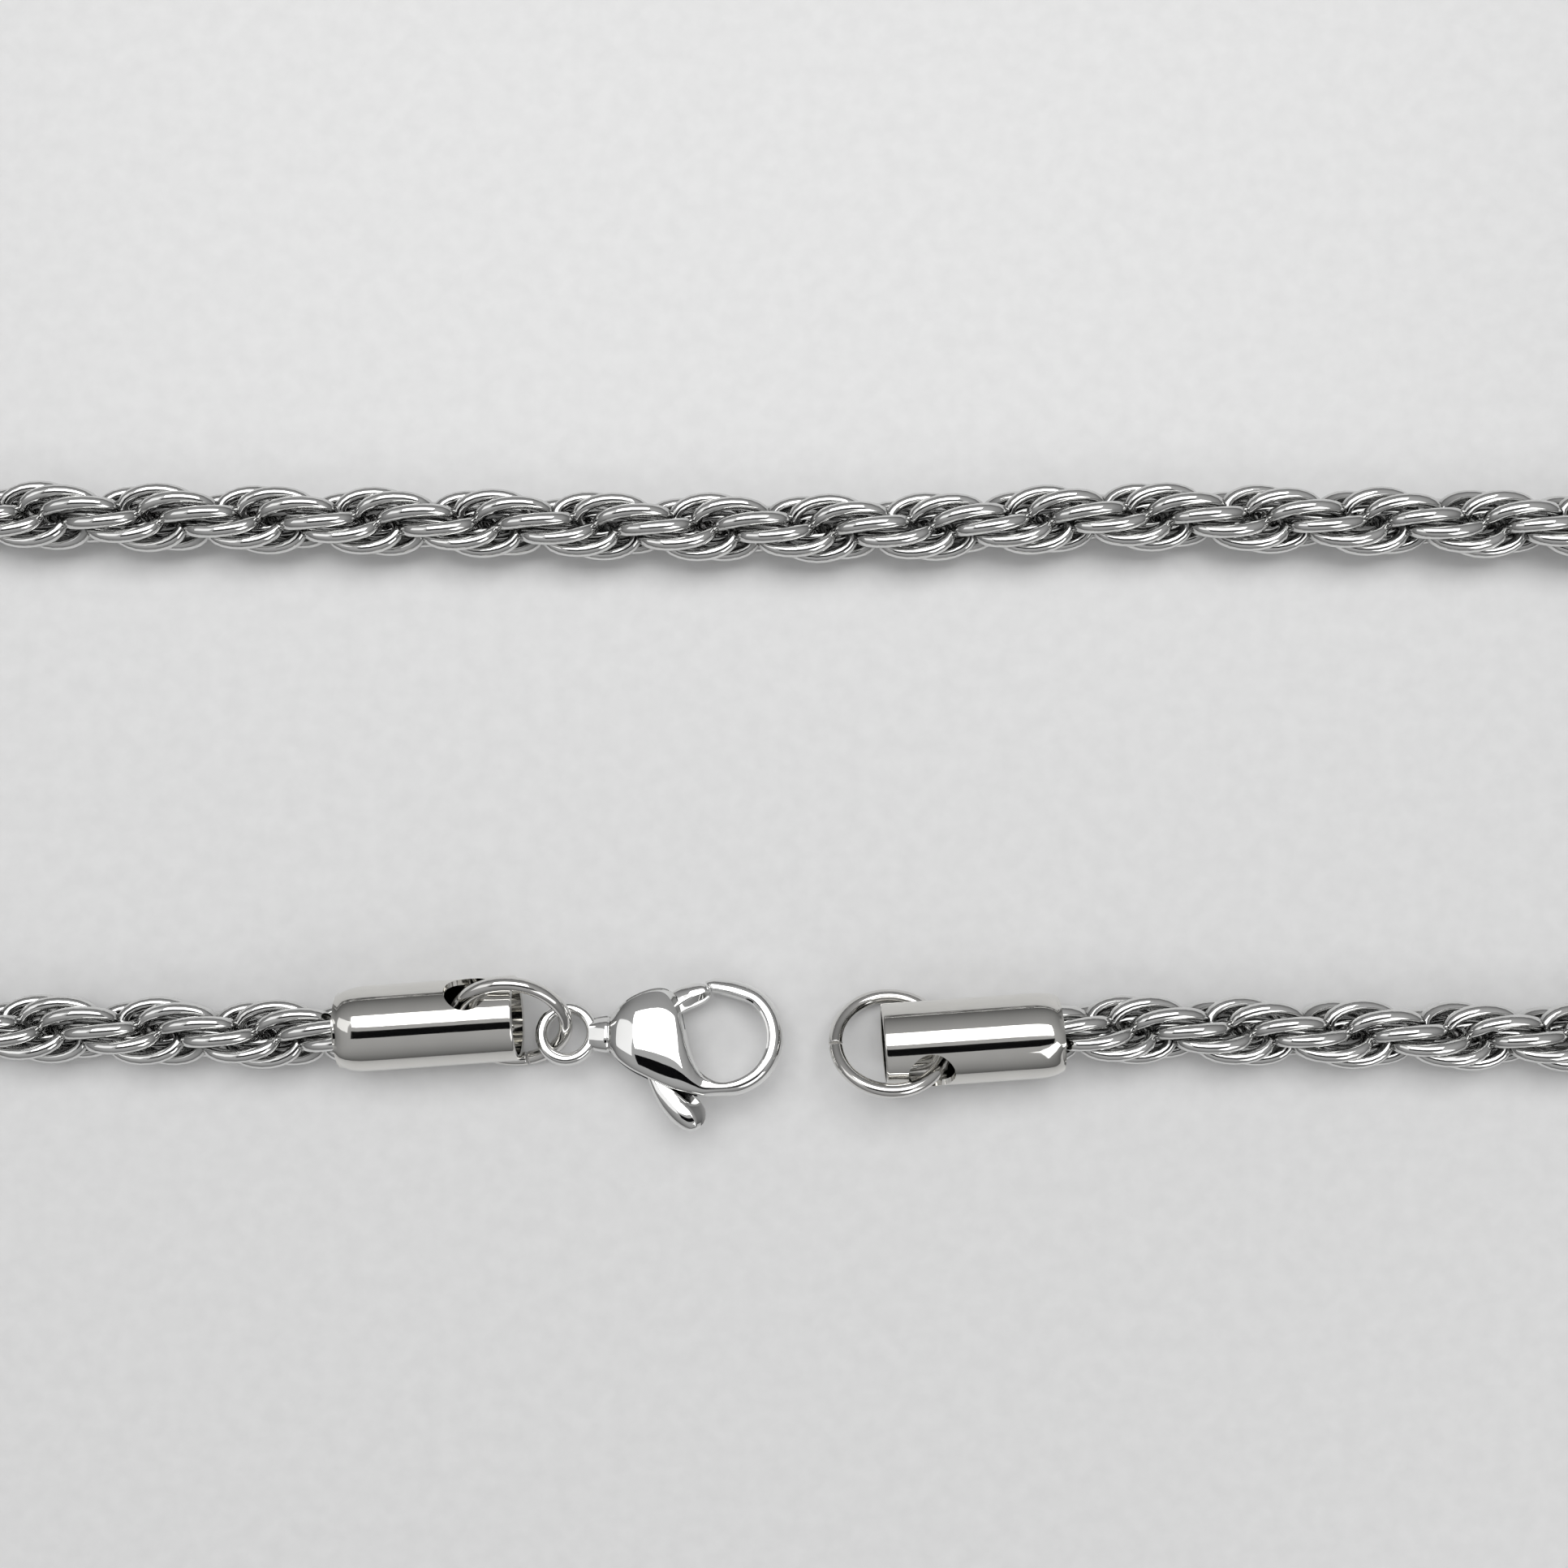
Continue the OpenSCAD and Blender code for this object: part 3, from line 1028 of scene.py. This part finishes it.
tab_stations = [
    (5.80, 0.90, 4.50, 0.90, 0.46, 0.36, 0.36, 0.60, 0.00),
    (5.55, -0.60, 4.50, -0.90, 0.46, 0.36, 0.36, 0.60, 0.00),
    (5.85, -1.75, 4.55, -2.15, 0.46, 0.34, 0.34, 0.50, 0.00),
    (6.45, -2.80, 4.90, -3.15, 0.50, 0.30, 0.30, 0.40, 0.00),
    (7.20, -3.42, 5.30, -3.95, 0.62, 0.24, 0.24, 0.20, 0.00),
    (7.78, -3.98, 5.85, -4.68, 0.74, 0.22, 0.22, 0.15, 0.00),
    (7.95, -4.55, 6.40, -5.16, 0.68, 0.20, 0.20, 0.15, 0.00),
    (7.78, -5.06, 6.85, -5.38, 0.48, 0.18, 0.18, 0.15, 0.00),
    (7.50, -5.28, 7.20, -5.40, 0.26, 0.14, 0.14, 0.20, 0.00),
]
lever = loft("clasp_lever_piece", nose_stations)
combine(lever, loft("tab", tab_stations), "UNION")
lever.data.transform(clasp_place)
lever.data.materials.clear()
lever.data.materials.append(clasp_steel)
smooth(lever, 42)
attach(lever, "clasp_lever")
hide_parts("clasp_lever")
print("lever:", len(lever.data.polygons), "faces")

# %% [markdown]
# ## The pin and the spring
# Both are inside the body and have the right shape in the model already, so they keep it
# and only get their finish.


# %% Give the hidden pieces their finish
def refinish(node, material):
    item = frame["nodes"][node]
    for slot in item.material_slots:
        slot.material = material


refinish("lever_pin", pin_steel)
refinish("lever_spring", spring_steel)
print("pin and spring finished")

# %% [markdown]
# ## Table, light and camera
# Steel shows only what it reflects, so the studio is built for the reflections. The table
# is pale and a little glossy. A wide soft box overhead makes the broad white highlight, a
# dark card beside it makes the black streak next to it, two weaker boxes fill in from the
# sides, and a sky that darkens towards the horizon fills the rest. The card and the boxes
# aren't seen by the camera.

# %% The table
TABLE_SIZE = 40.0
SPECKLE_SCALE = 900.0


def plane(name, size_x, size_y, matrix, material):
    x, y = size_x / 2, size_y / 2
    mesh = bpy.data.meshes.new(name)
    mesh.from_pydata([(-x, -y, 0), (x, -y, 0), (x, y, 0), (-x, y, 0)], [], [(0, 1, 2, 3)])
    mesh.materials.append(material)
    made = bpy.data.objects.new(name, mesh)
    made.matrix_world = matrix
    bpy.context.collection.objects.link(made)
    return made


def table_finish():
    material = bpy.data.materials.new("table_top")
    material.use_nodes = True
    material.node_tree.nodes.clear()
    finish = Finish(material.node_tree)
    place = finish.node("ShaderNodeTexCoord", {}, {})["Object"]
    speckle = noise(finish, place, SPECKLE_SCALE, 3.0)
    greys = [(0.3, 0.73), (0.7, 0.77)]
    grey = finish.node("ShaderNodeValToRGB", {"stops": greys}, {"Fac": speckle})["Color"]
    shader = finish.node(
        "ShaderNodeBsdfPrincipled",
        {},
        {"Base Color": grey, "Roughness": 0.34, "Specular IOR Level": 0.35},
    )
    finish.node("ShaderNodeOutputMaterial", {}, {"Surface": shader["BSDF"]})
    return material


plane("table", TABLE_SIZE, TABLE_SIZE, Matrix.Identity(4), table_finish())


# %% The sky, the soft boxes and the dark card
def sky():
    world = bpy.data.worlds.new("studio")
    world.use_nodes = True
    world.node_tree.nodes.clear()
    finish = Finish(world.node_tree)
    way = finish.node("ShaderNodeTexCoord", {}, {})["Generated"]
    up = finish.node("ShaderNodeSeparateXYZ", {}, {0: way})["Z"]
    stops = [(0.0, 0.13), (0.1, 0.18), (0.35, 0.30), (0.7, 0.44), (1.0, 0.52)]
    shade = finish.node("ShaderNodeValToRGB", {"stops": stops}, {"Fac": up})["Color"]
    background = finish.node("ShaderNodeBackground", {}, {"Color": shade, "Strength": 0.9})
    finish.node("ShaderNodeOutputWorld", {}, {"Surface": background["Background"]})
    bpy.context.scene.world = world


def soft_box(name, middle, towards, size_x, size_y, power):
    light = bpy.data.lights.new(name, "AREA")
    light.shape = "RECTANGLE"
    light.size, light.size_y = size_x, size_y
    light.energy = power
    made = bpy.data.objects.new(name, light)
    made.location = middle
    made.rotation_euler = (Vector(towards) - Vector(middle)).to_track_quat("-Z", "Y").to_euler()
    made.visible_camera = False
    bpy.context.collection.objects.link(made)
    return made


def dark_card(name, middle, towards, size_x, size_y):
    material = bpy.data.materials.new(name)
    material.use_nodes = True
    shader = material.node_tree.nodes["Principled BSDF"]
    shader.inputs["Base Color"].default_value = (0.008, 0.008, 0.009, 1)
    shader.inputs["Roughness"].default_value = 1.0
    shader.inputs["Specular IOR Level"].default_value = 0.0
    turn = (Vector(towards) - Vector(middle)).to_track_quat("Z", "Y").to_matrix().to_4x4()
    card = plane(name, size_x, size_y, Matrix.Translation(middle) @ turn, material)
    card.visible_camera = False
    card.visible_shadow = False
    card.visible_diffuse = False
    return card


sky()
soft_box("top_box", (0.0, 0.17, 0.40), (0, 0, 0), 0.44, 0.24, 1.1)
soft_box("side_box", (-0.40, 0.10, 0.40), (0, 0, 0), 0.30, 0.30, 0.2)
soft_box("far_box", (0.32, -0.34, 0.40), (0, 0, 0), 0.30, 0.30, 0.45)
dark_card("dark_card_near", (0.0, -0.07, 0.30), (0, 0, 0), 0.34, 0.10)
print("studio set")

# %% The camera, straight above the clasp end
CAMERA_OVER = (4.46, 0.52)
FIELD = 88.8
CAMERA_UP = 100.0
MIDDLE_HEIGHT = 2.0
SENSOR = 36.0
camera_data = bpy.data.cameras.new("camera")
camera_data.sensor_width = SENSOR
camera_data.lens = SENSOR * CAMERA_UP / FIELD
camera_data.clip_start = 5 * MM
camera = bpy.data.objects.new("camera", camera_data)
camera.location = Vector((*CAMERA_OVER, CAMERA_UP + MIDDLE_HEIGHT)) * MM
bpy.context.collection.objects.link(camera)
bpy.context.scene.camera = camera
bpy.context.scene.view_settings.view_transform = "Standard"
print("lens", round(camera_data.lens, 1), "mm")

# %% Print the model's box
print("cad box", model_box)
